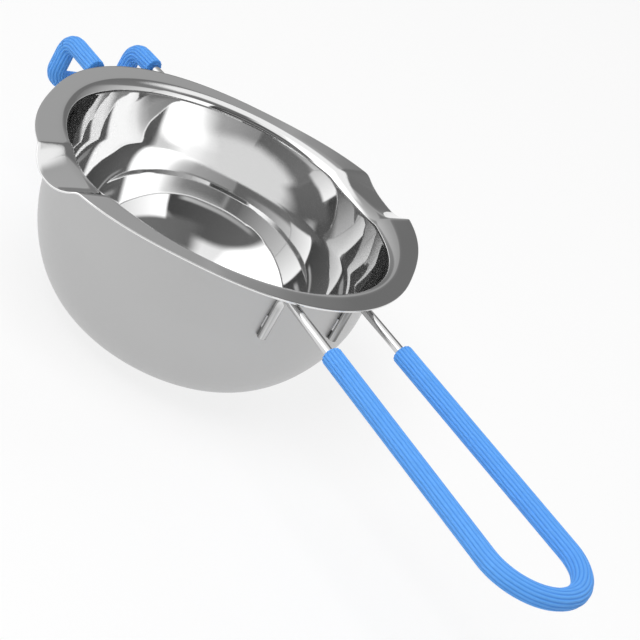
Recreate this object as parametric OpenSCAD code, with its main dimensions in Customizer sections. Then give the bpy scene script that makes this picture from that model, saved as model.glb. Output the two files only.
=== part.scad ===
// Hanging melting pot for candle wax: a pressed steel bowl with two pouring spouts, with a bent
// rod handle and a bent rod hook welded under its flange, both in ribbed silicone sleeves.
// Millimetres. +Z is up, the handle points along +X, the hook is at -X, the spouts at +Y and -Y.
// The origin is the middle of the flat base, on the surface that the pot stands on.

/* [Bowl] */
// Height of the flange's upper face above the base
bowl_h = 69.6; // [64:0.2:76]
// Radius of the flat base
base_r = 25.5; // [20:0.5:32]
// Outer radius of the wall at its top, where it bends into the flange
mouth_r = 65; // [62:0.5:67]
// Thickness of the pressed sheet
sheet_t = 0.8; // [0.5:0.05:1.2]
// Depth below the flange's upper face at which the straight wall becomes the belly's curve
wall_drop = 25.6; // [20:0.2:29]
// How far the belly's curve leads out flat from the base
belly_lead = 28; // [20:0.5:32]
// How far the belly's curve comes up in line with the wall
belly_rise = 10.8; // [6:0.2:20]
// Draft of the straight wall, in degrees
wall_draft = 1.25; // [0.5:0.05:2.5]

/* [Flange] */
// Mean width of the flange, measured from the inner side of the wall
flange_w = 11.1; // [9:0.1:15]
// Upper radius of the bend from the wall into the flange
flange_bend_r = 4.2; // [3:0.1:5.5]
// How far the flange swells at the handle and hook, and draws in halfway to the spouts
flange_swell = 1.05; // [0:0.05:1.5]

/* [Spouts] */
// Width of each trough at its lip
spout_lip_w = 28.9; // [20:0.5:34]
// Width of each trough at the mouth of the bowl
spout_mouth_w = 32; // [22:0.5:38]
// Depth of each trough at its lip
spout_lip_drop = 5.2; // [2:0.1:7]
// Depth of each trough at the mouth of the bowl
spout_mouth_drop = 1.6; // [0.5:0.1:3]
// How far the flange widens out towards the middle of a spout
spout_wing = 5.6; // [2:0.1:8]
// How far round from a spout's middle that widening reaches, in degrees
spout_wing_span = 51; // [35:1:60]
// How far the lip itself stands out past the widened flange
spout_lip_out = 1; // [0:0.1:2]
// How far to either side each edge of a trough is rounded into the flange
spout_fold = 1.8; // [0.4:0.1:3]

/* [Rods] */
// Diameter of the steel rod of the handle and the hook
rod_d = 3.5; // [3:0.1:4.5]
// Depth of the rods' centre lines below the flange's upper face, where they leave the wall
arm_drop = 3.65; // [3.2:0.05:7]
// Radius of the tight bend under the flange, on the centre line
corner_r = 4; // [3:0.1:5]
// Distance between the centre lines of a rod's two legs, at the wall
leg_gap = 33.8; // [28:0.2:40]
// Length of each welded leg, from the centre line of its arm
leg_len = 19; // [14:0.5:24]
// How far the legs' centre lines stand off the wall, less than the rod's radius when welded in
leg_stand = 1; // [0.6:0.05:1.4]

/* [Handle] */
// Reach of the handle's rod from the wall corner to its far end, on the centre line
handle_reach = 148.1; // [100:0.5:180]
// How far each arm of the handle splays outward, in degrees
handle_splay = 1.25; // [0:0.05:3]
// How far the handle dips towards its end, in degrees
handle_dip = 1.52; // [0:0.02:4]

/* [Hook] */
// Reach of each hook arm from the wall corner out to the centre line of its leg
hook_arm_len = 34.5; // [28:0.2:46]
// Depth of the hook, from the centre line of its arms to that of its crossbar
hook_drop = 18.6; // [16:0.2:24]
// How far the hook's legs lean outward, in degrees
hook_lean = 3; // [0:0.5:8]
// How far the hook's right-hand arm toes in towards the other, in degrees
hook_toe = 3.2; // [0:0.2:8]
// How far the hook dips towards its ears, in degrees
hook_dip = 0.45; // [0:0.05:2]
// Radius of the hook's bends on the centre line
hook_bend_r = 6; // [5:0.1:7]

/* [Sleeves] */
// Outer diameter of the silicone sleeves over their ribs
sleeve_d = 7.5; // [6.6:0.1:8.4]
// Number of ribs round a sleeve
sleeve_ribs = 16; // [12:4:20]
// How far the ribs stand out of the sleeve
rib_h = 0.3; // [0.15:0.05:0.5]
// Radial clearance of a sleeve on its rod
sleeve_fit = 0.08; // [0.05:0.01:0.15]
// Bare length of each handle arm between the wall corner and its sleeve
handle_bare = 31; // [20:0.2:45]
// How far the handle's sleeve has crept towards its right-hand arm
handle_creep = 0.9; // [-3:0.1:3]
// Bare length of each hook arm between the wall corner and its sleeve
hook_bare = 17.2; // [16:0.2:22]
// How far the hook's sleeve has crept towards its left-hand arm
hook_creep = 3.5; // [-4:0.1:4]

/* [Welds] */
// Radius of the bead on each side of a welded leg
bead_r = 0.6; // [0.4:0.05:0.9]
// Length of each bead
bead_len = 5; // [3:0.5:8]
// Depth of the middle of the beads below the flange's upper face
bead_drop = 16.1; // [13.6:0.5:19.1]

/* [Hidden] */
steel = [0.76, 0.77, 0.79];
weld_steel = [0.62, 0.62, 0.63];
silicone = [0.33, 0.58, 0.93];

// Facets of the round forms, and the steps of the shaped rim
round_fn = 180;
rod_fn = 48;
rib_fn = 20;
belly_steps = 30;
fine_steps = 18;
fine_angle = 0.8;
coarse_steps = 36;
bend_steps = 5;
flange_steps = 3;
wall_middle_share = 0.55;

// Heights of the belly's top, of the rods' centre lines at the wall and of the beads
belly_h = bowl_h - wall_drop;
arm_h = bowl_h - arm_drop;
bead_h = bowl_h - bead_drop;

// Where the turned vessel ends and the shaped rim takes over, as a share of the way up the wall
join_share = 0.53;
join_h = belly_h + (bowl_h - belly_h) * join_share;
// The rim's skirt reaches down into the vessel's wall as a tongue, thinner than the sheet
tongue_len = 0.6;
tongue_rise = 0.2;
tongue_taper = 1.2;
tongue_inset = 0.12;

// Shares that round the trough: how full it is across, and how flat along its floor
trough_full_share = 2.3;
trough_flat_share = 0.87;
// Bends are a hair fatter than straight runs, which reach this far into them
bend_fat = 0.02;
bend_lap = 0.2;
// Small step, in a share of a section or in degrees, at which slopes are measured
slope_step = 0.002;

rod_r = rod_d / 2;
bend_z = bowl_h - flange_bend_r;
draft_rise = tan(wall_draft);
wall_in = sheet_t / cos(wall_draft);
inner_mouth_r = mouth_r - wall_in;
flange_r = inner_mouth_r + flange_w;

leg_y = leg_gap / 2;
leg_out = mouth_r + leg_stand - (bend_z - arm_h) * draft_rise;
corner_x = sqrt(leg_out * leg_out - leg_y * leg_y);
leg_turn = atan2(leg_y, corner_x);
handle_end_x = (handle_reach - leg_y * cos(handle_splay)) / (1 + sin(handle_splay));
handle_end_r = handle_reach - handle_end_x;
handle_arm_len = handle_end_x * cos(handle_splay) - leg_y * sin(handle_splay);
hook_reach = corner_x + hook_arm_len;

// The hook's ears, where its arms bend down into its legs. Side 1 is at +Y and -1 at -Y of a
// hook drawn at +X, before it is turned round to its place, so side -1 becomes the right-hand one.
function toe(side) = side < 0 ? hook_toe : 0;
function hook_arm_dir(side) =
    [cos(toe(side)) * cos(hook_dip), -sin(toe(side)), -cos(toe(side)) * sin(hook_dip)];
function hook_arm_full(side) = hook_arm_len / hook_arm_dir(side).x;
function ear_point(side) = [corner_x, leg_y, arm_h] + hook_arm_full(side) * hook_arm_dir(side);
function ear_turn(side) = acos(hook_arm_dir(side) * hook_leg_dir);
function ear_run(side) = hook_bend_r * tan(ear_turn(side) / 2);
function hook_arm_run(side) = hook_arm_full(side) - ear_run(side);
hook_leg_dir = [sin(hook_lean), 0, -cos(hook_lean)];

sleeve_r = sleeve_d / 2;
rib_pitch = 360 / sleeve_ribs;
rib_r = (sleeve_r - rib_h) * sin(rib_pitch / 2);

// Outer radius of the drafted wall at height z
function wall_r(z) = mouth_r - (bend_z - z) * draft_rise;

// The belly is one smooth curve from the edge of the base to the straight wall
belly_ends = [
    [base_r, 0],
    [base_r + belly_lead, 0],
    [wall_r(belly_h) - belly_rise * draft_rise, belly_h - belly_rise],
    [wall_r(belly_h), belly_h]
];
function belly_point(t) =
    let (p = belly_ends, s = 1 - t)
    s * s * s * p[0] + 3 * s * s * t * p[1] + 3 * s * t * t * p[2] + t * t * t * p[3];
function belly_run(t) =
    let (p = belly_ends, s = 1 - t)
    s * s * (p[1] - p[0]) + 2 * s * t * (p[2] - p[1]) + t * t * (p[3] - p[2]);
function belly_inside(t) =
    let (run = belly_run(t))
    belly_point(t) + sheet_t * [-run.y, run.x] / norm(run);

// Outline of the flange from above: round, a little swollen, and winged at the spouts
function from_spout(a) = (a + 360) % 180 - 90;
function wing(off) = abs(off) < spout_wing_span ? spout_wing * pow(cos(90 * off / spout_wing_span), 2) : 0;
function trough_share(x, half_w) =
    pow(1 - pow(min(1, abs(x) / half_w), trough_full_share), trough_flat_share);
fold_weights = [1, 4, 6, 4, 1];
fold_total = 16;
function soft_trough_share(x, half_w) =
    let (parts = [for (i = [-2:2]) fold_weights[i + 2] * trough_share(x + i * spout_fold / 2, half_w)])
    parts * [1, 1, 1, 1, 1] / fold_total;
function outline_r(a) =
    let (off = from_spout(a), r = flange_r + wing(off) + flange_swell * cos(4 * a))
    r + spout_lip_out * soft_trough_share(r * sin(off), spout_lip_w / 2);

// Half a section through the rim before the spouts are pressed: v from 0 to 1 climbs the wall,
// to 2 goes round the bend and to 3 crosses the flange. It gives the radius and the height of
// the sheet's upper side.
function rim_z(v) = v < 1 ? join_h + v * (bend_z - join_h) : bend_z + flange_bend_r * sin(90 * min(v - 1, 1));
function rim_r(v) =
    v < 1 ? wall_r(rim_z(v)) - wall_in
    : v < 2 ? inner_mouth_r + flange_bend_r * (1 - cos(90 * (v - 1)))
    : inner_mouth_r + flange_bend_r + (v - 2) * (flange_w - flange_bend_r);

// The same point after pressing, at angle a round the bowl: drawn out to the outline, and
// lowered where a trough passes. The lowering fades out down the wall.
function pressed(a, v) =
    let (
        across = max(0, rim_r(v) - inner_mouth_r) / flange_w,
        r = v < 1 ? rim_r(v) : inner_mouth_r + across * (outline_r(a) - inner_mouth_r),
        half_w = (spout_mouth_w + (spout_lip_w - spout_mouth_w) * across) / 2,
        drop = spout_mouth_drop + (spout_lip_drop - spout_mouth_drop) * across,
        fade = pow(min(1, max(0, v)), 2)
    )
    [
        r * cos(a),
        r * sin(a),
        rim_z(v) - drop * fade * soft_trough_share(r * sin(from_spout(a)), half_w)
    ];
function sheet_normal(a, v) =
    let (
        up = pressed(a, v + slope_step) - pressed(a, v - slope_step),
        round = pressed(a + slope_step, v) - pressed(a - slope_step, v),
        n = cross(up, round)
    )
    n / norm(n);

// Stations of a section, by v: the tongue, its taper, the wall, the bend and the flange
wall_len = bend_z - join_h;
tongue_stations = [-tongue_len / wall_len, tongue_rise / wall_len];
wall_stations = [(tongue_rise + tongue_taper) / wall_len, wall_middle_share, 1];
bend_stations = [for (i = [1:bend_steps]) 1 + i / bend_steps];
flange_stations = [for (i = [1:flange_steps]) 2 + i / flange_steps];
stations = concat(tongue_stations, wall_stations, bend_stations, flange_stations);
station_count = len(stations);
function inset(i) = i < len(tongue_stations) ? tongue_inset : 0;

// Angles of the sections: close together across a spout, wide apart between the spouts
coarse_angle = (180 - 2 * fine_steps * fine_angle) / (coarse_steps + 1);
section_angles = [
    for (spout = [-90, 90])
        each concat(
            [for (i = [-fine_steps:fine_steps]) spout + i * fine_angle],
            [for (i = [1:coarse_steps]) spout + fine_steps * fine_angle + i * coarse_angle]
        )
];
section_count = len(section_angles);

// One closed section: out along the upper side and back along the underside
function rim_section(a) =
    let (
        upper = [for (i = [0:station_count - 1]) pressed(a, stations[i])],
        normals = [for (v = stations) sheet_normal(a, v)]
    )
    concat(
        [for (i = [0:station_count - 1]) upper[i] - inset(i) * normals[i]],
        [for (i = [station_count - 1:-1:0]) upper[i] - (sheet_t - inset(i)) * normals[i]]
    );

// Turned vessel: base, belly and lower wall in one profile
module vessel() {
    rotate_extrude($fn = round_fn)
        polygon(concat(
            [[0, 0]],
            [for (i = [0:belly_steps]) belly_point(i / belly_steps)],
            [[wall_r(join_h), join_h], [wall_r(join_h) - wall_in, join_h]],
            [for (i = [belly_steps:-1:0]) belly_inside(i / belly_steps)],
            [[0, sheet_t]]
        ));
}

// Pressed rim: upper wall, bend, flange and both spouts, as a ring of sections
module pressed_rim() {
    points = [for (a = section_angles) each rim_section(a)];
    size = 2 * station_count;
    faces = [
        for (s = [0:section_count - 1], k = [0:size - 1])
            let (
                t = (s + 1) % section_count,
                m = (k + 1) % size,
                near_k = s * size + k,
                near_m = s * size + m,
                far_k = t * size + k,
                far_m = t * size + m
            )
            each [[near_k, far_m, near_m], [near_k, far_k, far_m]]
    ];
    polyhedron(points = points, faces = faces);
}

// The wall's outer surface filled in, which the welded legs and their beads are cut to
module wall_core() {
    rotate_extrude($fn = round_fn)
        polygon([[0, belly_h], [wall_r(belly_h), belly_h], [wall_r(bend_z), bend_z], [0, bend_z]]);
}

// A run of rod or sleeve from the origin along +X, with its section as the child. It starts
// lap_start early and ends lap_end late, to reach into the bends that it meets.
module straight(length, lap_start = bend_lap, lap_end = bend_lap) {
    translate([-lap_start, 0, 0])
        rotate([0, 90, 0])
            linear_extrude(length + lap_start + lap_end)
                children();
}

// A bend from the origin, starting along +X and turning towards +Y
module turn(angle, radius) {
    translate([0, radius, 0])
        rotate([0, 0, -90])
            rotate_extrude(angle = angle, $fn = round_fn)
                translate([radius, 0])
                    children();
}

// Sections of the rod and of the ribbed sleeve, made fat all over by extra
module rod_section(extra = 0) {
    circle(rod_r + extra, $fn = rod_fn);
}

module sleeve_section(extra = 0) {
    difference() {
        union() {
            circle(sleeve_r - rib_h + extra, $fn = rod_fn);
            for (i = [0:sleeve_ribs - 1])
                rotate((i + 0.5) * rib_pitch)
                    translate([sleeve_r - rib_r, 0])
                        circle(rib_r + extra, $fn = rib_fn);
        }
        circle(rod_r + sleeve_fit - extra, $fn = rod_fn);
    }
}

// The side of a rod that side names: 1 is at +Y, -1 is at -Y
module on_side(side) {
    mirror([0, side < 0 ? 1 : 0, 0])
        children();
}

// Arm, tight bend and leg of one side of a rod. The arm starts at the wall corner, runs along
// +X for arm_len, splayed by splay and dipping by dip, and the leg follows the wall down.
module welded_arm(arm_len, splay, dip) {
    corner_turn = 90 + dip - wall_draft;
    corner_run = corner_r * tan(corner_turn / 2);
    translate([corner_x, 0, arm_h])
        rotate([0, dip, 0])
            translate([0, leg_y, 0])
                rotate([0, 0, splay])
                    translate([corner_run, 0, 0]) {
                        straight(arm_len - corner_run)
                            rod_section();
                        rotate([-90, 0, 180]) {
                            turn(corner_turn, corner_r)
                                rod_section(bend_fat);
                            translate([corner_r * sin(corner_turn), corner_r * (1 - cos(corner_turn)), 0])
                                rotate([0, 0, corner_turn])
                                    straight(leg_len - corner_run, lap_end = 0)
                                        rod_section();
                        }
                    }
}

// The round end of the handle, which joins the tips of its two arms
module handle_end() {
    translate([corner_x, 0, arm_h])
        rotate([0, handle_dip, 0])
            translate([handle_end_x, 0, 0])
                rotate([0, 0, -90 - handle_splay])
                    rotate_extrude(angle = 180 + 2 * handle_splay, $fn = round_fn)
                        translate([handle_end_r, 0])
                            children();
}

// Sleeved stretch of one handle arm, from the end of its bare length to the round end
module handle_grip(bare) {
    translate([corner_x, 0, arm_h])
        rotate([0, handle_dip, 0])
            translate([0, leg_y, 0])
                rotate([0, 0, handle_splay])
                    translate([bare, 0, 0])
                        straight(handle_arm_len - bare, lap_start = 0)
                            children();
}

// Frame of an ear of the hook, at +X: its origin is where the arm ends and the bend starts, +X
// goes on along the arm and +Y lies in the plane of the arm and the leg, towards the leg
module at_ear(side) {
    arm = hook_arm_dir(side);
    down = hook_leg_dir - (hook_leg_dir * arm) * arm;
    inward = down / norm(down);
    aside = cross(arm, inward);
    start = ear_point(side) - ear_run(side) * arm;
    on_side(side)
        multmatrix([
            [arm.x, inward.x, aside.x, start.x],
            [arm.y, inward.y, aside.y, start.y],
            [arm.z, inward.z, aside.z, start.z],
            [0, 0, 0, 1]
        ])
            children();
}

// Sleeved stretch of one arm of the hook, at +X, from the end of its bare length to the ear
module hook_grip(side, bare) {
    at_ear(side)
        translate([bare - hook_arm_run(side), 0, 0])
            straight(hook_arm_run(side) - bare, lap_start = 0)
                children();
}

// The two legs of the hook and its crossbar, at +X, with the section as the child
module hook_runs() {
    for (side = [-1, 1])
        at_ear(side)
            translate([hook_bend_r * sin(ear_turn(side)), hook_bend_r * (1 - cos(ear_turn(side))), 0])
                rotate([0, 0, ear_turn(side)])
                    straight(hook_drop - hook_bend_r - ear_run(side))
                        children();
    in_hook_frame()
        translate([0, hook_bend_r - ear_point(-1).y, -hook_drop])
            rotate([0, 0, 90])
                straight(ear_point(-1).y + ear_point(1).y - 2 * hook_bend_r)
                    children();
}

// The four bends of the hook, at +X, with the section as the child
module hook_bends() {
    for (side = [-1, 1]) {
        at_ear(side)
            turn(ear_turn(side), hook_bend_r)
                children();
        on_side(side)
            in_hook_frame()
                translate([0, ear_point(side).y, hook_bend_r - hook_drop])
                    rotate([90, 0, -90])
                        rotate([0, 0, -90])
                            turn(90, hook_bend_r)
                                children();
    }
}

// Frame of the hook's lower part: its origin is where the arms' and the legs' lines cross, and
// -Z runs down the leaning legs
module in_hook_frame() {
    translate([hook_reach, 0, ear_point(1).z])
        rotate([0, -hook_lean, 0])
            children();
}

// Turns a piece made at +X round to the hook's side of the bowl
module to_hook_side() {
    rotate([0, 0, 180])
        children();
}

// The two small beads that join one leg to the wall, one in the groove on each side of the rod
module weld(side) {
    groove_y = sqrt(rod_r * rod_r - leg_stand * leg_stand);
    rotate([0, 0, side * leg_turn])
        translate([wall_r(bead_h), 0, bead_h])
            rotate([0, wall_draft, 0])
                translate([0, 0, -bead_len / 2])
                    linear_extrude(bead_len)
                        difference() {
                            for (y = [-groove_y, groove_y])
                                translate([0, y])
                                    circle(bead_r, $fn = rod_fn);
                            translate([leg_stand, 0])
                                circle(rod_r, $fn = rod_fn);
                            translate([-rod_d, -rod_d])
                                square([rod_d, 2 * rod_d]);
                        }
}

module bowl() {
    color(steel) {
        vessel();
        pressed_rim();
    }
}

module handle_rod() {
    color(steel)
        difference() {
            union() {
                for (side = [-1, 1])
                    on_side(side)
                        welded_arm(handle_arm_len, handle_splay, handle_dip);
                handle_end()
                    rod_section(bend_fat);
            }
            wall_core();
        }
}

module handle_sleeve() {
    color(silicone) {
        on_side(-1)
            handle_grip(handle_bare + handle_creep)
                sleeve_section();
        on_side(1)
            handle_grip(handle_bare - handle_creep)
                sleeve_section();
        handle_end()
            sleeve_section(bend_fat);
    }
}

module hook_rod() {
    color(steel)
        to_hook_side()
            difference() {
                union() {
                    for (side = [-1, 1])
                        on_side(side)
                            welded_arm(hook_arm_run(side), -toe(side), hook_dip);
                    hook_runs()
                        rod_section();
                    hook_bends()
                        rod_section(bend_fat);
                }
                wall_core();
            }
}

module hook_sleeve() {
    color(silicone)
        to_hook_side() {
            hook_grip(1, hook_bare - hook_creep)
                sleeve_section();
            hook_grip(-1, hook_bare + hook_creep)
                sleeve_section();
            hook_runs()
                sleeve_section();
            hook_bends()
                sleeve_section(bend_fat);
        }
}

module handle_weld_left() {
    color(weld_steel)
        weld(-1);
}

module handle_weld_right() {
    color(weld_steel)
        weld(1);
}

module hook_weld_left() {
    color(weld_steel)
        to_hook_side()
            weld(1);
}

module hook_weld_right() {
    color(weld_steel)
        to_hook_side()
            weld(-1);
}

bowl();
handle_rod();
handle_sleeve();
hook_rod();
hook_sleeve();
handle_weld_left();
handle_weld_right();
hook_weld_left();
hook_weld_right();
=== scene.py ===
"""Looks of the hanging melting pot: polished sheet, bent rods and ribbed sleeves in a white studio."""

import logging
import math
from dataclasses import dataclass, field
from enum import Enum
from typing import Callable

import bmesh
import bpy
from mathutils import Matrix, Vector


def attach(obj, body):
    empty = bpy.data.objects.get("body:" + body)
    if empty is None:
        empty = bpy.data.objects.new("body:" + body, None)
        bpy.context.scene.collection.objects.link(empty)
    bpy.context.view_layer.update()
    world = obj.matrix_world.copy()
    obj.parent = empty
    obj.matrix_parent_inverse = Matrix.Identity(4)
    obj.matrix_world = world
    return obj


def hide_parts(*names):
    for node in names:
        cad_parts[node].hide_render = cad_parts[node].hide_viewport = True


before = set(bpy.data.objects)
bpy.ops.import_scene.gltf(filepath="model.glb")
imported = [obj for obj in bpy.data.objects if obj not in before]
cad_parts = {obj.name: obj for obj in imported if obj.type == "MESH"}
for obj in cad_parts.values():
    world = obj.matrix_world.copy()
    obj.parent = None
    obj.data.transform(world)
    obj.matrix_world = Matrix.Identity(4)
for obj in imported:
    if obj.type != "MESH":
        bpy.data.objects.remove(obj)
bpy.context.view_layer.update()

LOG = logging.getLogger("melting_pot")
MM = 0.001
ROOT = "root"
SECTION_RADIUS = "section_radius"
PANEL_SHARES = "shares"
# Most of a noise pattern's values lie between these two.
NOISE_MIDDLE = (0.3, 0.7)
# A run that rises by more than this share of its length counts as upright.
NEARLY_UPRIGHT = 0.9

Colour = tuple[float, float, float]
Span = tuple[float, float]
Shader = bpy.types.Node
Socket = bpy.types.NodeSocket
Tree = bpy.types.NodeTree
WorkMesh = bmesh.types.BMesh
Ring = list[bmesh.types.BMEdge]
Path = list[tuple[Vector, float]]


class Slot(Enum):
    """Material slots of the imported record."""

    SHEET = "polished_sheet"
    ROD = "steel_rod"
    WELD = "weld_metal"
    SILICONE = "silicone"


class Side(Enum):
    """Sides of the pot, as seen by someone who holds the handle."""

    LEFT = -1
    RIGHT = 1


class Working(Enum):
    """Ways to work out a value from others."""

    LARGEST = "MAXIMUM"
    PRODUCT = "MULTIPLY"
    PRODUCT_PLUS = "MULTIPLY_ADD"


def new_material(name: str) -> tuple[bpy.types.Material, Shader]:
    """Make an empty procedural material.

    Args:
        name: Name of the material.

    Returns:
        The material and its surface shader node.
    """
    material = bpy.data.materials.new(name)
    material.use_nodes = True
    tree = material.node_tree
    tree.nodes.clear()
    shader = tree.nodes.new("ShaderNodeBsdfPrincipled")
    output = tree.nodes.new("ShaderNodeOutputMaterial")
    tree.links.new(shader.outputs["BSDF"], output.inputs["Surface"])
    return material, shader


def feed(tree: Tree, target: Socket, value: Socket | Colour | float) -> None:
    """Link a value to an input, or set the input to a constant.

    Args:
        tree: Node tree that holds the input.
        target: Input to feed.
        value: Socket to link, or a colour or number to set.
    """
    if isinstance(value, bpy.types.NodeSocket):
        tree.links.new(value, target)
    elif isinstance(value, tuple):
        target.default_value = (*value, 1.0)
    else:
        target.default_value = value


def calculated(tree: Tree, working: Working, *values: Socket | float) -> Socket:
    """Work out a value from others.

    Args:
        tree: Node tree to add to.
        working: What is done with the values.
        values: Sockets or numbers, in order.

    Returns:
        The result.
    """
    node = tree.nodes.new("ShaderNodeMath")
    node.operation = working.value
    for i, value in enumerate(values):
        feed(tree, node.inputs[i], value)
    return node.outputs["Value"]


def mapped(tree: Tree, source: Socket, start: Span, end: Span, smooth: bool = False) -> Socket:
    """Carry a value from one range to another, and hold it at both ends.

    Args:
        tree: Node tree to add to.
        source: Value to carry over.
        start: Range of the source.
        end: Values at both ends of that range.
        smooth: Whether it eases in and out.

    Returns:
        The new value.
    """
    node = tree.nodes.new("ShaderNodeMapRange")
    if smooth:
        node.interpolation_type = "SMOOTHSTEP"
    for name, value in zip(("From Min", "From Max", "To Min", "To Max"), (*start, *end)):
        node.inputs[name].default_value = value
    tree.links.new(source, node.inputs["Value"])
    return node.outputs["Result"]


def faded(tree: Tree, source: Socket, none_at: float, full_at: float) -> Socket:
    """Fade smoothly from 0 to 1 between two values of a source, in either direction.

    Args:
        tree: Node tree to add to.
        source: Value that the fade follows.
        none_at: Value of the source at which the fade gives 0.
        full_at: Value of the source at which the fade gives 1.

    Returns:
        The fade.
    """
    low, high = sorted(((none_at, 0.0), (full_at, 1.0)))
    return mapped(tree, source, (low[0], high[0]), (low[1], high[1]), smooth=True)


def mixed(tree: Tree, first: Socket | Colour, second: Socket | Colour, share: Socket) -> Socket:
    """Mix two colours.

    Args:
        tree: Node tree to add to.
        first: Colour at a share of 0.
        second: Colour at a share of 1.
        share: Share of the second colour.

    Returns:
        The mixed colour.
    """
    mix = tree.nodes.new("ShaderNodeMix")
    mix.data_type = "RGBA"
    feed(tree, mix.inputs["A"], first)
    feed(tree, mix.inputs["B"], second)
    feed(tree, mix.inputs["Factor"], share)
    return mix.outputs["Result"]


def raise_pattern(tree: Tree, shader: Shader, pattern: Socket, height: float, strength: float) -> None:
    """Let a pattern stand out of a surface.

    Args:
        tree: Node tree to add to.
        shader: Shader of the surface.
        pattern: Height of the pattern, from 0 to 1.
        height: Greatest height in metres.
        strength: Share of the full effect.
    """
    bump = tree.nodes.new("ShaderNodeBump")
    bump.inputs["Strength"].default_value = strength
    bump.inputs["Distance"].default_value = height
    tree.links.new(pattern, bump.inputs["Height"])
    tree.links.new(bump.outputs["Normal"], shader.inputs["Normal"])


@dataclass(frozen=True)
class Noise:
    """A noise pattern in the piece's own coordinates."""

    scale: float
    detail: float = 2.0
    roughness: float = 0.5
    stretch: tuple[float, float, float] = (1.0, 1.0, 1.0)

    def output(self, tree: Tree) -> Socket:
        """Add the pattern to a node tree.

        Args:
            tree: Node tree to add to.

        Returns:
            The pattern's value, from 0 to 1.
        """
        place = tree.nodes.new("ShaderNodeTexCoord")
        mapping = tree.nodes.new("ShaderNodeMapping")
        mapping.inputs["Scale"].default_value = self.stretch
        noise = tree.nodes.new("ShaderNodeTexNoise")
        noise.inputs["Scale"].default_value = self.scale
        noise.inputs["Detail"].default_value = self.detail
        noise.inputs["Roughness"].default_value = self.roughness
        tree.links.new(place.outputs["Object"], mapping.inputs["Vector"])
        tree.links.new(mapping.outputs["Vector"], noise.inputs["Vector"])
        return noise.outputs["Fac"]


@dataclass(frozen=True)
class PaintedLegReflections:
    """Painted dark reflections: lengthwise streaks on the rods' pressed legs, below a height in metres."""

    dark: Colour
    streaks: Noise
    top: float
    soft: float

    def output(self, tree: Tree, clean: Colour) -> Socket:
        """Paint the dark reflection streaks into a node tree.

        Args:
            tree: Node tree to add to.
            clean: Colour of the clean rod.

        Returns:
            Colour of the rod with the painted reflections on its legs.
        """
        place = tree.nodes.new("ShaderNodeTexCoord")
        split = tree.nodes.new("ShaderNodeSeparateXYZ")
        tree.links.new(place.outputs["Object"], split.inputs["Vector"])
        low = mapped(tree, split.outputs["Z"], (self.top - self.soft, self.top), (1.0, 0.0))
        # Painted reflection: noise darkens the legs in streaks, standing for dark surroundings mirrored in
        # the polished rod.
        painted_streak = mapped(tree, self.streaks.output(tree), NOISE_MIDDLE, (0.0, 1.0))
        return mixed(tree, clean, self.dark, calculated(tree, Working.PRODUCT, low, painted_streak))


@dataclass(frozen=True)
class SteelFinish:
    """Polished or satin stainless steel."""

    name: str
    colour: Colour
    roughness: Span
    grain: Noise
    waviness: Noise
    wave_height: float
    metallic: float = 1.0
    legs: PaintedLegReflections | None = None

    def make(self) -> bpy.types.Material:
        """Build the material.

        Returns:
            The material.
        """
        material, shader = new_material(self.name)
        tree = material.node_tree
        colour = shader.inputs["Base Color"]
        feed(tree, colour, self.colour)
        # Painted dark reflection streaks on the legs, laid into the rod's colour.
        if self.legs:
            feed(tree, colour, self.legs.output(tree, self.colour))
        feed(tree, shader.inputs["Metallic"], self.metallic)
        roughness = mapped(tree, self.grain.output(tree), NOISE_MIDDLE, self.roughness)
        feed(tree, shader.inputs["Roughness"], roughness)
        raise_pattern(tree, shader, self.waviness.output(tree), self.wave_height, 1.0)
        return material


@dataclass(frozen=True)
class SiliconeFinish:
    """Matte coloured silicone rubber, with painted shade in its grooves."""

    name: str
    colour: Colour
    faded: Colour
    groove_shade: Colour
    groove_radius: Span
    roughness: Span
    specular: float
    mottle: Noise
    skin: Noise
    skin_height: float
    skin_strength: float

    def make(self) -> bpy.types.Material:
        """Build the material.

        Returns:
            The material.
        """
        material, shader = new_material(self.name)
        tree = material.node_tree
        mottle = self.mottle.output(tree)
        ridge = mixed(tree, self.colour, self.faded, mapped(tree, mottle, NOISE_MIDDLE, (0.0, 1.0)))
        # Painted shade: the colour darkens towards the grooves, following the radius that each point of the
        # section keeps.
        radius = tree.nodes.new("ShaderNodeAttribute")
        radius.attribute_name = SECTION_RADIUS
        rise = mapped(tree, radius.outputs["Fac"], self.groove_radius, (0.0, 1.0))
        feed(tree, shader.inputs["Base Color"], mixed(tree, self.groove_shade, ridge, rise))
        feed(tree, shader.inputs["Roughness"], mapped(tree, mottle, NOISE_MIDDLE, self.roughness))
        feed(tree, shader.inputs["Specular IOR Level"], self.specular)
        raise_pattern(tree, shader, self.skin.output(tree), self.skin_height, self.skin_strength)
        return material


INSIDE_POLISH = SteelFinish(
    name="mirror_polished_sheet",
    colour=(0.8, 0.8, 0.8),
    roughness=(0.018, 0.035),
    grain=Noise(90.0, 4.0),
    waviness=Noise(38.0, 1.0, 0.5, (1.0, 1.0, 0.3)),
    wave_height=0.0003,
    metallic=0.975,
)
OUTSIDE_SATIN = SteelFinish(
    name="satin_polished_sheet",
    colour=(0.49, 0.49, 0.49),
    roughness=(0.35, 0.38),
    grain=Noise(420.0, 3.0),
    waviness=Noise(14.0, 1.0),
    wave_height=0.00006,
)
ROD_POLISH = SteelFinish(
    name="bright_drawn_rod",
    colour=(0.68, 0.68, 0.68),
    roughness=(0.07, 0.12),
    grain=Noise(300.0, 3.0),
    waviness=Noise(60.0, 1.0),
    wave_height=0.00003,
    # Painted dark reflection streaks on the welded legs.
    legs=PaintedLegReflections(
        dark=(0.16, 0.16, 0.16),
        streaks=Noise(620.0, 1.0, 0.5, (1.0, 1.0, 0.02)),
        top=0.0635,
        soft=0.003,
    ),
)
WELD_METAL = SteelFinish(
    name="ground_weld",
    colour=(0.5, 0.5, 0.51),
    roughness=(0.25, 0.4),
    grain=Noise(900.0, 3.0),
    waviness=Noise(700.0, 2.0),
    wave_height=0.0001,
)
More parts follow.
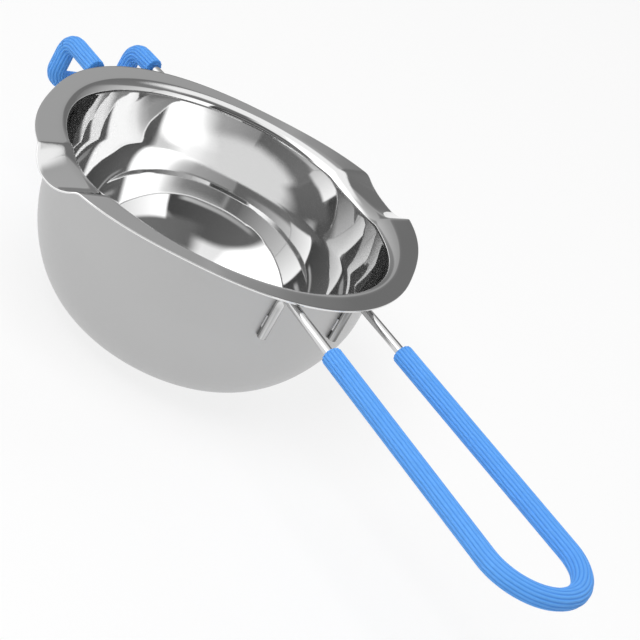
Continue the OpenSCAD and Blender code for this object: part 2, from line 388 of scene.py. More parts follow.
BLUE_SILICONE = SiliconeFinish(
    name="blue_silicone",
    colour=(0.12, 0.395, 0.93),
    faded=(0.135, 0.42, 0.95),
    # Painted shade in the grooves between the ribs.
    groove_shade=(0.065, 0.29, 0.82),
    groove_radius=(0.00345, 0.00368),
    roughness=(0.5, 0.62),
    specular=0.22,
    mottle=Noise(60.0, 3.0),
    skin=Noise(1800.0, 2.0),
    skin_height=0.000012,
    skin_strength=0.4,
)


def stored(name: str, bm: WorkMesh) -> bpy.types.Mesh:
    """Store a worked mesh under a name and free it.

    Args:
        name: Name of the stored mesh.
        bm: Worked mesh, freed here.

    Returns:
        The stored mesh.
    """
    mesh = bpy.data.meshes.new(name)
    bm.to_mesh(mesh)
    bm.free()
    return mesh


def placed(name: str, data: bpy.types.ID) -> bpy.types.Object:
    """Make an object at the origin and put it in the scene.

    Args:
        name: Name of the object.
        data: Its mesh, lamp or camera.

    Returns:
        The object.
    """
    made = bpy.data.objects.new(name, data)
    bpy.context.scene.collection.objects.link(made)
    return made


def finish_piece(name: str, bm: WorkMesh, node: str) -> bpy.types.Object:
    """Turn a worked mesh into a smooth piece of the pot that stands for a CAD node.

    Args:
        name: Name of the new piece.
        bm: Finished mesh in millimetres, freed here.
        node: CAD node that the piece stands for.

    Returns:
        The new object, riding on the pot's one body.
    """
    bmesh.ops.scale(bm, vec=(MM, MM, MM), verts=bm.verts)
    for face in bm.faces:
        face.smooth = True
    piece = placed(name, stored(name, bm))
    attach(piece, ROOT)
    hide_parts(node)
    LOG.info("%s: %d faces, stands for %s", name, len(piece.data.polygons), node)
    return piece


@dataclass
class PressedBowl:
    """Bowl pressed from one sheet: base, belly, wall, flange and two spouts. Millimetres.

    The steps are the counts of points along each stretch of the profile and across its rounded edge.
    """

    height: float = 69.6
    base_r: float = 25.5
    mouth_r: float = 65.0
    sheet: float = 0.8
    wall_drop: float = 25.6
    belly_lead: float = 28.0
    belly_rise: float = 10.8
    draft: float = math.radians(1.25)
    flange_w: float = 11.1
    flange_bend_r: float = 4.2
    flange_swell: float = 1.05
    flange_swells: int = 4
    spout_lip_w: float = 28.9
    spout_mouth_w: float = 32.0
    spout_lip_drop: float = 5.2
    spout_mouth_drop: float = 1.6
    spout_wing: float = 5.6
    spout_wing_span: float = 51.0
    spout_lip_out: float = 1.0
    spout_wall_share: float = 0.53
    spout_fold: float = 1.8
    fold_weights: tuple[int, ...] = (1, 4, 6, 4, 1)
    trough_floor_power: float = 2.3
    trough_side_power: float = 0.87
    edge_round: float = 0.2
    edge_angle: float = math.radians(60)
    edge_steps: int = 3
    base_steps: int = 6
    belly_steps: int = 44
    wall_steps: int = 12
    bend_steps: int = 12
    flange_steps: int = 8
    turns: int = 480
    crowding: float = 0.62
    merge_gap: float = 0.002

    @property
    def bend_z(self) -> float:
        """Height at which the wall bends into the flange."""
        return self.height - self.flange_bend_r

    @property
    def belly_z(self) -> float:
        """Height at which the belly runs into the straight wall."""
        return self.height - self.wall_drop

    @property
    def spout_z(self) -> float:
        """Height above which the troughs start to show in the wall."""
        return self.belly_z + self.wall_drop * self.spout_wall_share

    @property
    def inner_r(self) -> float:
        """Inner radius of the mouth."""
        return self.mouth_r - self.sheet / math.cos(self.draft)

    @property
    def flange_r(self) -> float:
        """Radius of the flange's edge before it swells."""
        return self.inner_r + self.flange_w

    @staticmethod
    def off_spout(angle: float) -> float:
        """Angle from the nearer spout's middle, for an angle round the bowl, both in degrees."""
        return (angle + 360) % 180 - 90

    def wall_r(self, z: float) -> float:
        """Outer radius of the drafted wall at height z."""
        return self.mouth_r - (self.bend_z - z) * math.tan(self.draft)

    def belly(self, t: float) -> Span:
        """Find a point of the belly's inner side.

        Args:
            t: Share of the way along the belly, from the base to the wall.

        Returns:
            Radius and height of the point.
        """
        wall_r = self.wall_r(self.belly_z)
        ends = [
            (self.base_r, 0.0),
            (self.base_r + self.belly_lead, 0.0),
            (wall_r - self.belly_rise * math.tan(self.draft), self.belly_z - self.belly_rise),
            (wall_r, self.belly_z),
        ]
        s = 1.0 - t
        at = [s**3 * a + 3 * s * s * t * b + 3 * s * t * t * c + t**3 * d for a, b, c, d in zip(*ends)]
        run = [
            s * s * (b - a) + 2 * s * t * (c - b) + t * t * (d - c)
            for a, b, c, d in zip(*ends)
        ]
        size = math.hypot(*run)
        return at[0] - self.sheet * run[1] / size, at[1] + self.sheet * run[0] / size

    def profile(self) -> list[Span]:
        """Draw the inner and upper side of the sheet before the spouts are pressed.

        Returns:
            Radius and height of each point, from the middle outward.
        """
        points = [(self.base_r * i / self.base_steps, self.sheet) for i in range(self.base_steps)]
        points += [self.belly(i / self.belly_steps) for i in range(self.belly_steps + 1)]
        for i in range(1, self.wall_steps + 1):
            z = self.belly_z + (self.bend_z - self.belly_z) * i / self.wall_steps
            points.append((self.wall_r(z) - self.sheet / math.cos(self.draft), z))
        for i in range(1, self.bend_steps + 1):
            turn = math.pi / 2 * i / self.bend_steps
            points.append((
                self.inner_r + self.flange_bend_r * (1 - math.cos(turn)),
                self.bend_z + self.flange_bend_r * math.sin(turn),
            ))
        start = self.inner_r + self.flange_bend_r
        for i in range(1, self.flange_steps + 1):
            points.append((start + (self.flange_r - start) * i / self.flange_steps, self.height))
        return points

    def trough(self, x: float, half_width: float) -> float:
        """Find the depth of a spout's trough, with softly folded edges.

        Args:
            x: Place across the trough, from its middle.
            half_width: Half the trough's width there.

        Returns:
            Share of the trough's full depth.
        """

        def share(at: float) -> float:
            """Depth at one place, before its edges are softened."""
            rest = 1 - min(1.0, abs(at) / half_width) ** self.trough_floor_power
            return rest**self.trough_side_power

        middle = len(self.fold_weights) // 2
        reach = sum(
            weight * share(x + (i - middle) * self.spout_fold / 2)
            for i, weight in enumerate(self.fold_weights)
        )
        return reach / sum(self.fold_weights)

    def outline(self, angle: float) -> float:
        """Find the radius of the flange's edge.

        Args:
            angle: Angle round the bowl in degrees.

        Returns:
            Radius of the edge there.
        """
        off = self.off_spout(angle)
        wing = 0.0
        if abs(off) < self.spout_wing_span:
            wing = self.spout_wing * math.cos(math.radians(90 * off / self.spout_wing_span)) ** 2
        swell = self.flange_swell * math.cos(math.radians(self.flange_swells * angle))
        r = self.flange_r + wing + swell
        return r + self.spout_lip_out * self.trough(r * math.sin(math.radians(off)), self.spout_lip_w / 2)

    def press(self, vert: bmesh.types.BMVert) -> None:
        """Draw a point of the turned sheet out to the flange's outline and down into the spouts.

        Args:
            vert: Point of the turned sheet, moved here.
        """
        radius = math.hypot(vert.co.x, vert.co.y)
        if vert.co.z < self.spout_z:
            return
        angle = math.degrees(math.atan2(vert.co.y, vert.co.x))
        across = max(0.0, radius - self.inner_r) / (self.flange_r - self.inner_r)
        if across > 0:
            radius = self.inner_r + across * (self.outline(angle) - self.inner_r)
        half_width = (self.spout_mouth_w + (self.spout_lip_w - self.spout_mouth_w) * across) / 2
        drop = self.spout_mouth_drop + (self.spout_lip_drop - self.spout_mouth_drop) * across
        fade = min(1.0, (vert.co.z - self.spout_z) / (self.bend_z - self.spout_z)) ** 2
        off = math.radians(self.off_spout(angle))
        depth = drop * fade * self.trough(radius * math.sin(off), half_width)
        turn = math.radians(angle)
        vert.co = Vector((radius * math.cos(turn), radius * math.sin(turn), vert.co.z - depth))

    def turned(self) -> WorkMesh:
        """Turn the profile into a round sheet, with its points crowded together at the spouts.

        Returns:
            The sheet's upper side, in millimetres.
        """
        bm = bmesh.new()
        line = [bm.verts.new((r, 0.0, z)) for r, z in self.profile()]
        edges = [bm.edges.new(pair) for pair in zip(line, line[1:])]
        bmesh.ops.spin(
            bm,
            geom=line + edges,
            cent=(0, 0, 0),
            axis=(0, 0, 1),
            angle=2 * math.pi,
            steps=self.turns,
            use_merge=True,
            use_duplicate=False,
        )
        bmesh.ops.remove_doubles(bm, verts=bm.verts, dist=self.merge_gap)
        for vert in bm.verts:
            angle = math.atan2(vert.co.y, vert.co.x)
            crowded = angle + self.crowding / 2 * math.sin(2 * angle)
            radius = math.hypot(vert.co.x, vert.co.y)
            vert.co.x = radius * math.cos(crowded)
            vert.co.y = radius * math.sin(crowded)
        return bm

    def thicken(self, bowl: bpy.types.Object) -> None:
        """Give the sheet its thickness and round its edges.

        Args:
            bowl: Bowl with the inside's finish first and the outside's second.
        """
        wall = bowl.modifiers.new("sheet", "SOLIDIFY")
        wall.thickness = self.sheet * MM
        wall.offset = -1.0
        wall.use_even_offset = True
        wall.material_offset = 1
        wall.material_offset_rim = 0
        edge = bowl.modifiers.new("edge", "BEVEL")
        edge.width = self.edge_round * MM
        edge.segments = self.edge_steps
        edge.limit_method = "ANGLE"
        edge.angle_limit = self.edge_angle

    def build(self, inside: bpy.types.Material, outside: bpy.types.Material) -> bpy.types.Object:
        """Turn the sheet, press its spouts and give it its thickness.

        Args:
            inside: Finish of the inner side, the flange's upper side and its edge.
            outside: Finish of the outer side.

        Returns:
            The bowl.
        """
        bm = self.turned()
        for vert in bm.verts:
            self.press(vert)
        bmesh.ops.recalc_face_normals(bm, faces=bm.faces)
        # The faces look up and inwards, so that the sheet thickens down and outwards.
        lowest = min(bm.faces, key=lambda face: face.calc_center_median().z)
        if lowest.normal.z < 0:
            bmesh.ops.reverse_faces(bm, faces=bm.faces)
        bowl = finish_piece("pressed_bowl", bm, "bowl")
        bowl.data.materials.append(inside)
        bowl.data.materials.append(outside)
        self.thicken(bowl)
        return bowl


@dataclass
class BentTube:
    """A rod or tube swept along corners with rounded bends, by pushing and turning its end rings.

    Each corner is a point and the radius of the bend there. The first and last radius are zero.
    Each ring of the section is its count of points and its radius by angle. Millimetres and radians.
    """

    corners: Path
    rings: list[tuple[int, Callable[[float], float]]]
    end_round: float = 0.3
    end_steps: int = 3
    bend_step: float = math.radians(4)
    run_step: float = 6.0
    least_run: float = 0.001

    def start_ring(self, bm: WorkMesh) -> Ring:
        """Draw the section's rings round the first point, facing along the first run.

        Args:
            bm: Mesh to draw in.

        Returns:
            The rings' edges.
        """
        start, onward = self.corners[0][0], self.corners[1][0]
        along = (onward - start).normalized()
        up = Vector((0, 0, 1)) if abs(along.z) < NEARLY_UPRIGHT else Vector((0, 1, 0))
        side = up.cross(along).normalized()
        face = Matrix((side, along.cross(side), along)).transposed().to_4x4()
        # Each point keeps its radius, which the silicone's finish uses to paint shade into the grooves.
        ridge = bm.verts.layers.float.new(SECTION_RADIUS)
        edges = []
        for count, radius in self.rings:
            made = bmesh.ops.create_circle(bm, cap_ends=False, radius=1.0, segments=count)
            for vert in made["verts"]:
                angle = math.atan2(vert.co.y, vert.co.x)
                vert.co = vert.co.normalized() * radius(angle)
                vert[ridge] = vert.co.length * MM
            bmesh.ops.transform(bm, matrix=Matrix.Translation(start) @ face, verts=made["verts"])
            edges += dict.fromkeys(edge for vert in made["verts"] for edge in vert.link_edges)
        return edges

    def push(self, bm: WorkMesh, edges: Ring, step: Vector) -> Ring:
        """Push the end rings on along a straight step.

        Args:
            bm: Mesh of the tube.
            edges: Edges of the end rings.
            step: Way to push them.

        Returns:
            Edges of the new end rings.
        """
        made = bmesh.ops.extrude_edge_only(bm, edges=edges)["geom"]
        verts = [item for item in made if isinstance(item, bmesh.types.BMVert)]
        bmesh.ops.translate(bm, vec=step, verts=verts)
        return [
            item for item in made
            if isinstance(item, bmesh.types.BMEdge) and all(vert in verts for vert in item.verts)
        ]

    def straight(self, bm: WorkMesh, edges: Ring, run: Vector) -> Ring:
        """Push the end rings along a straight run in even steps.

        Args:
            bm: Mesh of the tube.
            edges: Edges of the end rings.
            run: Whole way to push them.

        Returns:
            Edges of the new end rings.
        """
        count = max(1, round(run.length / self.run_step))
        for _ in range(count):
            edges = self.push(bm, edges, run / count)
        return edges

    def bend(self, bm: WorkMesh, edges: Ring, centre: Vector, axis: Vector, angle: float) -> Ring:
        """Turn the end rings round a bend.

        Args:
            bm: Mesh of the tube.
            edges: Edges of the end rings.
            centre: Middle of the bend.
            axis: Axis that the rings turn round.
            angle: Angle of the bend.

        Returns:
            Edges of the new end rings.
        """
        made = bmesh.ops.spin(
            bm,
            geom=edges + list(dict.fromkeys(vert for edge in edges for vert in edge.verts)),
            cent=centre,
            axis=axis,
            angle=angle,
            steps=max(2, math.ceil(angle / self.bend_step)),
            use_merge=False,
            use_duplicate=False,
        )["geom_last"]
        return [item for item in made if isinstance(item, bmesh.types.BMEdge)]

    def close(self, bm: WorkMesh, ring: Ring) -> None:
        """Close one end, a tube between its two rings and a rod with a disc, and round its edge.

        Args:
            bm: Mesh of the tube.
            ring: Edges of the rings at that end.
        """
        if len(self.rings) > 1:
            bmesh.ops.bridge_loops(bm, edges=ring)
        else:
            bmesh.ops.edgeloop_fill(bm, edges=ring)
        bmesh.ops.bevel(
            bm,
            geom=ring,
            offset=self.end_round,
            segments=self.end_steps,
            profile=0.5,
            affect="EDGES",
            material=-1,
        )

    def sweep(self) -> WorkMesh:
        """Sweep the section along all the corners and close both ends.

        Returns:
            The closed tube, in millimetres.
        """
        bm = bmesh.new()
        first = self.start_ring(bm)
        edges = list(first)
        here = self.corners[0][0]
        for (before, _), (point, radius), (after, _) in zip(self.corners, self.corners[1:], self.corners[2:]):
            along = (point - before).normalized()
            onward = (after - point).normalized()
            angle = along.angle(onward)
            reach = radius * math.tan(angle / 2)
            start = point - along * reach
            if (start - here).length > self.least_run:
                edges = self.straight(bm, edges, start - here)
            axis = along.cross(onward).normalized()
            edges = self.bend(bm, edges, start + axis.cross(along) * radius, axis, angle)
            here = point + onward * reach
        edges = self.straight(bm, edges, self.corners[-1][0] - here)
        for ring in (first, edges):
            self.close(bm, ring)
        bmesh.ops.recalc_face_normals(bm, faces=bm.faces)
        return bm


@dataclass
class Rods:
    """The two bent rods, laid out from the pot's driving sizes. Millimetres and radians."""

    rod_r: float = 1.75
    height: float = 65.95
    corner_r: float = 4.0
    leg_y: float = 16.9
    leg_len: float = 19.0
    leg_stand: float = 1.0
    wall_clear: float = 0.01
    handle_reach: float = 148.1
    splay: float = math.radians(1.25)
    handle_dip: float = math.radians(1.52)
    hook_arm_len: float = 34.5
    hook_drop: float = 18.6
    hook_lean: float = math.radians(3)
    hook_toe: float = math.radians(3.2)
    hook_dip: float = math.radians(0.45)
    hook_bend_r: float = 6.0
    points_round: int = 40
    bowl: PressedBowl = field(default_factory=PressedBowl)

    @property
    def corner_x(self) -> float:
        """Distance of the wall corners from the middle plane of the spouts."""
        bowl = self.bowl
        out = bowl.mouth_r + self.leg_stand - (bowl.bend_z - self.height) * math.tan(bowl.draft)
        return math.sqrt(out * out - self.leg_y * self.leg_y)

    def leg_foot(self, corner: Vector, outward: float) -> Vector:
        """Lower end of the welded leg under a wall corner, where outward is 1 for +X and -1 for -X."""
        lean = self.bowl.draft
        return corner + self.leg_len * Vector((-outward * math.sin(lean), 0, -math.cos(lean)))

    def handle_arm(self, side: Side) -> tuple[Vector, Vector]:
        """Place one arm of the handle.

        Args:
            side: Side of the arm.

        Returns:
            The arm's wall corner and its direction.
        """
        corner = Vector((self.corner_x, side.value * self.leg_y, self.height))
        along = Vector((
            math.cos(self.splay) * math.cos(self.handle_dip),
            side.value * math.sin(self.splay),
            -math.cos(self.splay) * math.sin(self.handle_dip),
        ))
        return corner, along

    def handle_end(self) -> Span:
        """Length of each handle arm up to its corner point, and the radius of the round end."""
        end_x = (self.handle_reach - self.leg_y * math.cos(self.splay)) / (1 + math.sin(self.splay))
        return self.handle_reach / math.cos(self.splay), self.handle_reach - end_x

    def hook_arm(self, side: Side) -> tuple[Vector, Vector, float]:
        """Place one arm of the hook.

        Args:
            side: Side of the arm.

        Returns:
            The arm's wall corner, its direction, and its length up to its ear.
        """
        toe = self.hook_toe if side is Side.RIGHT else 0.0
        corner = Vector((-self.corner_x, side.value * self.leg_y, self.height))
        along = Vector((
            -math.cos(toe) * math.cos(self.hook_dip),
            -side.value * math.sin(toe),
            -math.cos(toe) * math.sin(self.hook_dip),
        ))
        return corner, along, self.hook_arm_len / -along.x

    def first_corners(self, corner: Vector, along: Vector, bare: float | None) -> Path:
        """Start one side of a path, at a sleeve's end or at the foot of the welded leg.

        Args:
            corner: The arm's wall corner.
            along: The arm's direction.
            bare: Where a sleeve starts on the arm, or None for the whole rod with its leg.

        Returns:
            The first corner points of that side.
        """
        if bare is not None:
            return [(corner + along * bare, 0.0)]
        foot = self.leg_foot(corner, math.copysign(1.0, along.x))
        return [(foot, 0.0), (corner, self.corner_r)]

    def handle_path(self, bare: dict[Side, float] | None = None) -> Path:
        """Lay out the handle from left to right.

        Args:
            bare: Where a sleeve starts on each arm, or None for the whole rod with its legs.

        Returns:
            Corner points with the radius of the bend at each.
        """
        reach, end_r = self.handle_end()
        path = []
        for side in (Side.LEFT, Side.RIGHT):
            corner, along = self.handle_arm(side)
            part = self.first_corners(corner, along, bare[side] if bare else None)
            part.append((corner + along * reach, end_r))
            path += part if side is Side.LEFT else part[::-1]
        return path

    def hook_path(self, bare: dict[Side, float] | None = None) -> Path:
        """Lay out the hook from left to right.

        Args:
            bare: Where a sleeve starts on each arm, or None for the whole rod with its legs.

        Returns:
            Corner points with the radius of the bend at each.
        """
        down = Vector((-math.sin(self.hook_lean), 0, -math.cos(self.hook_lean)))
        path = []
        for side in (Side.LEFT, Side.RIGHT):
            corner, along, length = self.hook_arm(side)
            ear = corner + along * length
            part = self.first_corners(corner, along, bare[side] if bare else None)
            part += [(ear, self.hook_bend_r), (ear + down * self.hook_drop, self.hook_bend_r)]
            path += part if side is Side.LEFT else part[::-1]
        return path

    def flatten(self, vert: bmesh.types.BMVert) -> None:
        """Flatten a rod where its leg is melted into the wall.

        Args:
            vert: Point of the rod, moved out of the wall here.
        """
        radius = math.hypot(vert.co.x, vert.co.y)
        wall = self.bowl.wall_r(vert.co.z) + self.wall_clear
        if vert.co.z < self.bowl.bend_z and radius < wall:
            vert.co.x *= wall / radius
            vert.co.y *= wall / radius

    def build(self, metal: bpy.types.Material) -> list[bpy.types.Object]:
        """Bend both rods and flatten their legs against the wall.

        Args:
            metal: Finish of the rods.

        Returns:
            The handle's rod and the hook's rod.
        """
        made = []
        for name, path, node in (
            ("bent_handle_rod", self.handle_path(), "handle_rod"),
            ("bent_hook_rod", self.hook_path(), "hook_rod"),
        ):
            bm = BentTube(path, [(self.points_round, lambda _: self.rod_r)]).sweep()
            for vert in bm.verts:
                self.flatten(vert)
            rod = finish_piece(name, bm, node)
            rod.data.materials.append(metal)
            made.append(rod)
        return made


@dataclass
class Sleeves:
    """Ribbed silicone tubes over the handle's and the hook's rod. Millimetres."""

    rods: Rods
    outer_r: float = 3.75
    ribs: int = 16
    rib_h: float = 0.3
    fit: float = 0.08
    handle_bare: float = 31.0
    handle_creep: float = 0.9
    hook_bare: float = 17.2
    hook_creep: float = 3.5
    end_round: float = 0.45
    points_per_rib: int = 9
    bore_points: int = 32

    def rib(self, angle: float) -> float:
        """Find the radius of the ribbed outline.

        Args:
            angle: Angle round the sleeve in radians.

        Returns:
            Radius of the outline there.
        """
        low = self.outer_r - self.rib_h
        pitch = 2 * math.pi / self.ribs
        bead = low * math.sin(pitch / 2)
        middle = self.outer_r - bead
        off = (angle % pitch) - pitch / 2
        inside = bead * bead - (middle * math.sin(off)) ** 2
        top = middle * math.cos(off) + math.sqrt(inside) if inside > 0 else 0.0
        return max(low, top)

    def starts(self, bare: float, creep: float) -> dict[Side, float]:
        """Where a sleeve starts on each arm, when it has crept towards the right one by a length."""
        return {side: bare - side.value * creep for side in Side}

    def build(self, rubber: bpy.types.Material) -> list[bpy.types.Object]:
        """Draw both sleeves on.

        Args:
            rubber: Finish of the sleeves.

        Returns:
            The handle's sleeve and the hook's sleeve.
        """
        handle = self.starts(self.handle_bare, self.handle_creep)
        hook = self.starts(self.hook_bare, -self.hook_creep)
        bore_r = self.rods.rod_r + self.fit
        rings = [(self.ribs * self.points_per_rib, self.rib), (self.bore_points, lambda _: bore_r)]
        made = []
        for name, path, node in (
            ("ribbed_handle_sleeve", self.rods.handle_path(handle), "handle_sleeve"),
            ("ribbed_hook_sleeve", self.rods.hook_path(hook), "hook_sleeve"),
        ):
            bm = BentTube(path, rings, end_round=self.end_round).sweep()
            sleeve = finish_piece(name, bm, node)
            sleeve.data.materials.append(rubber)
            made.append(sleeve)
        return made


@dataclass(frozen=True)
class Welds:
    """The small weld beads beside the legs, carried over from the CAD model."""

    nodes: tuple[str, ...] = ("handle_weld_left", "handle_weld_right", "hook_weld_left", "hook_weld_right")

    def dress(self, metal: bpy.types.Material) -> None:
        """Give each bead its finish.

        Args:
            metal: Finish of the beads.
        """
        for name in self.nodes:
            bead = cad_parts[name]
            bead.data.materials.clear()
            bead.data.materials.append(metal)
            LOG.info("%s: dressed as it is", name)


def towards(azimuth: float, elevation: float) -> Vector:
    """Find a direction out from the pot.

    Args:
        azimuth: Degrees round the pot, from +X towards +Y.
        elevation: Degrees above the floor.

    Returns:
        The direction, of length 1.
    """
    a, e = math.radians(azimuth), math.radians(elevation)
    return Vector((math.cos(a) * math.cos(e), math.sin(a) * math.cos(e), math.sin(e)))


def seen_directly(tree: Tree) -> Socket:
    """Tell apart what the camera, metal and glass see and the light that falls on matte pieces.

    Args:
        tree: Node tree to add to.

    Returns:
        1 for what they see, and 0 for all other light.
    """
    path = tree.nodes.new("ShaderNodeLightPath")
    value = path.outputs["Is Camera Ray"]
    for ray in ("Is Glossy Ray", "Is Transmission Ray"):
        value = calculated(tree, Working.LARGEST, value, path.outputs[ray])
    return value


@dataclass(frozen=True)
class Panel:
    """A curved studio panel that only the metal mirrors, with soft edges. Degrees round the pot.

    Azimuth counts from +X towards +Y, elevation from the floor. The tone is 1 at the surround's white,
    and runs from the start azimuth's to the end one's. The soft edges are in degrees: at the start and
    end azimuth, then at the bottom and top. A rounded panel fades towards all sides by the first of them.
    The cell is the width of its mesh's squares.
    """

    name: str
    azimuth: Span
    elevation: Span
    distance: float
    tone: Span
    soft: tuple[float, float, float, float]
    rounded: bool = False
    cell: float = 6.0

    @property
    def wide(self) -> float:
        """Degrees from the start azimuth to the end one."""
        return self.azimuth[1] - self.azimuth[0]

    @property
    def tall(self) -> float:
        """Degrees from the bottom to the top."""
        return self.elevation[1] - self.elevation[0]

    def curve(self) -> bpy.types.Mesh:
        """Draw the panel as a patch of a sphere round the pot, with its shares as coordinates.

        Returns:
            The panel's mesh.
        """
        bm = bmesh.new()
        across, upward = (max(2, round(reach / self.cell)) for reach in (self.wide, self.tall))
        bmesh.ops.create_grid(bm, x_segments=across, y_segments=upward, size=0.5)
        layer = bm.loops.layers.uv.new(PANEL_SHARES)
        for face in bm.faces:
            for loop in face.loops:
                loop[layer].uv = (loop.vert.co.x + 0.5, loop.vert.co.y + 0.5)
        for vert in bm.verts:
            azimuth = self.azimuth[0] + (vert.co.x + 0.5) * self.wide
            elevation = self.elevation[0] + (vert.co.y + 0.5) * self.tall
            vert.co = towards(azimuth, elevation) * self.distance
        return stored(self.name, bm)

    def cover(self, tree: Tree, across: Socket, upward: Socket) -> Socket:
        """Fade the panel to nothing at its soft edges.

        Args:
            tree: Node tree to add to.
            across: Share of the way from the start azimuth to the end one.
            upward: Share of the way from the bottom to the top.

        Returns:
            How much of the panel is there, from 0 to 1.
        """
        fades = (
            faded(tree, across, 0.0, self.soft[0] / self.wide),
            faded(tree, across, 1.0, 1.0 - self.soft[1] / self.wide),
            faded(tree, upward, 0.0, self.soft[2] / self.tall),
            faded(tree, upward, 1.0, 1.0 - self.soft[3] / self.tall),
        )
        cover = fades[0]
        for fade in fades[1:]:
            cover = calculated(tree, Working.PRODUCT, cover, fade)
        return cover

    def rounded_cover(self, tree: Tree, across: Socket, upward: Socket) -> Socket:
        """Fade the panel to nothing at the edge of an oval.

        Args:
            tree: Node tree to add to.
            across: Share of the way from the start azimuth to the end one.
            upward: Share of the way from the bottom to the top.

        Returns:
            How much of the panel is there, from 0 to 1.
        """
        off = tree.nodes.new("ShaderNodeCombineXYZ")
        for share, name in ((across, "X"), (upward, "Y")):
            centred = calculated(tree, Working.PRODUCT_PLUS, share, 2.0, -1.0)
            feed(tree, off.inputs[name], centred)
        reach = tree.nodes.new("ShaderNodeVectorMath")
        reach.operation = "LENGTH"
        tree.links.new(off.outputs["Vector"], reach.inputs[0])
        return faded(tree, reach.outputs["Value"], 1.0, 1.0 - 2 * self.soft[0] / self.wide)

    def finish(self) -> bpy.types.Material:
        """Make the panel's glow.

        Returns:
            The material.
        """
        material = bpy.data.materials.new(self.name)
        material.use_nodes = True
        tree = material.node_tree
        tree.nodes.clear()
        shares = tree.nodes.new("ShaderNodeUVMap")
        shares.uv_map = PANEL_SHARES
        split = tree.nodes.new("ShaderNodeSeparateXYZ")
        glow = tree.nodes.new("ShaderNodeEmission")
        clear = tree.nodes.new("ShaderNodeBsdfTransparent")
        mix = tree.nodes.new("ShaderNodeMixShader")
        output = tree.nodes.new("ShaderNodeOutputMaterial")
        tree.links.new(shares.outputs["UV"], split.inputs["Vector"])
        across, upward = split.outputs["X"], split.outputs["Y"]
        cover = self.rounded_cover if self.rounded else self.cover
        feed(tree, glow.inputs["Strength"], mapped(tree, across, (0.0, 1.0), self.tone))
        feed(tree, mix.inputs["Fac"], cover(tree, across, upward))
        tree.links.new(clear.outputs["BSDF"], mix.inputs[1])
        tree.links.new(glow.outputs["Emission"], mix.inputs[2])
        tree.links.new(mix.outputs["Shader"], output.inputs["Surface"])
        return material

    def build(self) -> bpy.types.Object:
        """Hang the panel out of the sight of the camera, the lamps and all matte pieces.

        Returns:
            The panel.
        """
        panel = placed(self.name, self.curve())
        panel.visible_camera = False
        panel.visible_diffuse = False
        panel.visible_shadow = False
        panel.data.materials.append(self.finish())
        LOG.info("%s: hung", self.name)
        return panel


@dataclass(frozen=True)
class Softbox:
    """A square soft lamp that faces the pot, and that the metal doesn't mirror.

    Azimuth and elevation are in degrees, as a panel's are, distance and size in metres. The glow is
    the brightness of its face, where 1 is the white of the surround.
    """

    name: str
    azimuth: float
    elevation: float
    distance: float
    size: float
    glow: float

    def build(self) -> bpy.types.Object:
        """Hang the lamp.

        Returns:
            The lamp.
        """
        data = bpy.data.lights.new(self.name, "AREA")
        data.shape = "SQUARE"
        data.size = self.size
        data.energy = self.glow * math.pi * self.size * self.size
        lamp = placed(self.name, data)
        out = towards(self.azimuth, self.elevation)
        turn = out.to_track_quat("Z", "Y").to_matrix().to_4x4()
        lamp.matrix_world = Matrix.Translation(out * self.distance) @ turn
        lamp.visible_glossy = False
        LOG.info("%s: hung", self.name)
        return lamp


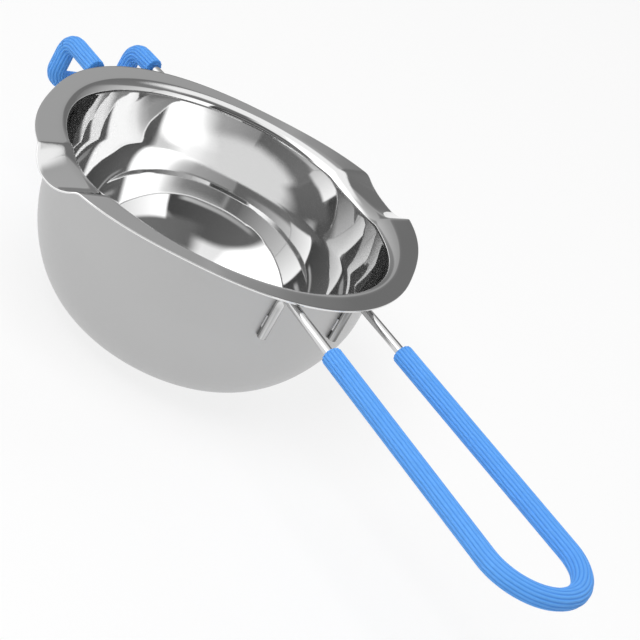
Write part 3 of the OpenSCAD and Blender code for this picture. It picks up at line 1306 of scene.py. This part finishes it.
@dataclass
class Studio:
    """White floor and surround, soft lamps, panels that the metal mirrors, and the camera.

    Lengths are in metres, and the camera's lens and sensor in millimetres. The eye is the camera's
    place, and right and down are the directions of the picture's right and lower side.
    """

    ambient: float = 0.38
    floor_glow: float = 0.8
    floor_white: Colour = (0.97, 0.97, 0.97)
    floor_roughness: float = 0.9
    floor_size: float = 12.0
    floor_drop: float = 0.0004
    lamps: tuple[Softbox, ...] = (
        Softbox("overhead_softbox", 282.0, 64.0, 1.4, 0.9, 4.6),
        Softbox("back_softbox", 100.0, 45.0, 1.6, 0.9, 1.3),
    )
    panels: tuple[Panel, ...] = (
        Panel("overhead_panel", (0, 360), (50, 90), 2.0, (1.05, 1.05), (0.01, 0.01, 18, 0.01)),
        Panel("side_panel", (22, 134), (-20, 61), 1.95, (0.24, 0.16), (12, 1, 1, 13)),
        Panel("back_panel", (127, 226), (-20, 61), 1.9, (0.34, 0.66), (8, 10, 1, 14)),
        Panel("low_back_panel", (134, 218), (-20, 23), 1.88, (0.17, 0.38), (8, 16, 1, 7)),
        Panel("key_panel", (191, 298), (-20, 80), 1.8, (1.9, 1.9), (54, 16, 1, 26)),
        Panel("camera_side_panel", (267, 370), (-26, 50), 1.7, (0.16, 0.035), (10, 0, 0, 0), rounded=True),
        Panel("upper_dark_panel", (314, 406), (32, 70), 1.65, (0.13, 0.2), (18, 22, 6, 14)),
        Panel("table_edge_panel", (281, 349), (18.5, 23.5), 1.68, (0.35, 0.6), (8, 8, 2.5, 2)),
        Panel("window_panel", (-7.5, 38), (-20, 39.5), 1.6, (1.5, 0.82), (3, 4, 1, 4)),
        Panel("side_strip_panel", (34, 116), (-20, 37), 1.62, (0.84, 0.16), (4, 8, 1, 8)),
    )
    lens: float = 120.681
    sensor: float = 36.0
    eye: tuple[float, float, float] = (0.507656, -0.513298, 0.392376)
    right: tuple[float, float, float] = (0.52289, 0.73129, 0.43795)
    down: tuple[float, float, float] = (0.62183, 0.02416, -0.78278)

    def floor_finish(self) -> bpy.types.Material:
        """Make the floor's white, which the camera and the metal see almost at full strength.

        Returns:
            The material, which keeps the pot's soft shadow.
        """
        material, shader = new_material("white_floor")
        tree = material.node_tree
        feed(tree, shader.inputs["Base Color"], self.floor_white)
        feed(tree, shader.inputs["Roughness"], self.floor_roughness)
        feed(tree, shader.inputs["Specular IOR Level"], 0.0)
        white = tree.nodes.new("ShaderNodeEmission")
        mix = tree.nodes.new("ShaderNodeMixShader")
        share = calculated(tree, Working.PRODUCT, seen_directly(tree), self.floor_glow)
        feed(tree, mix.inputs["Fac"], share)
        tree.links.new(shader.outputs["BSDF"], mix.inputs[1])
        tree.links.new(white.outputs["Emission"], mix.inputs[2])
        output = next(node for node in tree.nodes if node.bl_idname == "ShaderNodeOutputMaterial")
        tree.links.new(mix.outputs["Shader"], output.inputs["Surface"])
        return material

    def floor(self) -> None:
        """Lay the white floor."""
        bm = bmesh.new()
        bmesh.ops.create_grid(bm, x_segments=1, y_segments=1, size=self.floor_size)
        bmesh.ops.translate(bm, vec=(0, 0, -self.floor_drop), verts=bm.verts)
        floor = placed("floor", stored("floor", bm))
        floor.data.materials.append(self.floor_finish())

    def surround(self) -> None:
        """Surround the set with white, which the camera and the metal see at full strength."""
        world = bpy.data.worlds.new("white_surround")
        bpy.context.scene.world = world
        world.use_nodes = True
        tree = world.node_tree
        tree.nodes.clear()
        back = tree.nodes.new("ShaderNodeBackground")
        output = tree.nodes.new("ShaderNodeOutputWorld")
        feed(tree, back.inputs["Color"], (1.0, 1.0, 1.0))
        strength = mapped(tree, seen_directly(tree), (0.0, 1.0), (self.ambient, 1.0))
        feed(tree, back.inputs["Strength"], strength)
        tree.links.new(back.outputs["Background"], output.inputs["Surface"])

    def camera(self) -> None:
        """Set up the camera where the photograph was taken from."""
        right, down = Vector(self.right).normalized(), Vector(self.down)
        up = -(down - right * down.dot(right)).normalized()
        data = bpy.data.cameras.new("camera")
        data.sensor_width = self.sensor
        data.lens = self.lens
        camera = placed("camera", data)
        turn = Matrix((right, up, right.cross(up))).transposed().to_4x4()
        camera.matrix_world = Matrix.Translation(Vector(self.eye)) @ turn
        bpy.context.scene.camera = camera

    def build(self) -> None:
        """Set up the whole studio."""
        self.floor()
        self.surround()
        for item in (*self.lamps, *self.panels):
            item.build()
        self.camera()
        bpy.context.scene.view_settings.view_transform = "Standard"


def main() -> None:
    """Build the pot piece by piece, then the studio."""
    logging.basicConfig(level=logging.INFO, format="%(name)s: %(message)s")
    rods = Rods()
    rods.bowl.build(INSIDE_POLISH.make(), OUTSIDE_SATIN.make())
    rods.build(ROD_POLISH.make())
    Sleeves(rods).build(BLUE_SILICONE.make())
    Welds().dress(WELD_METAL.make())
    Studio().build()


if __name__ == "__main__":
    main()
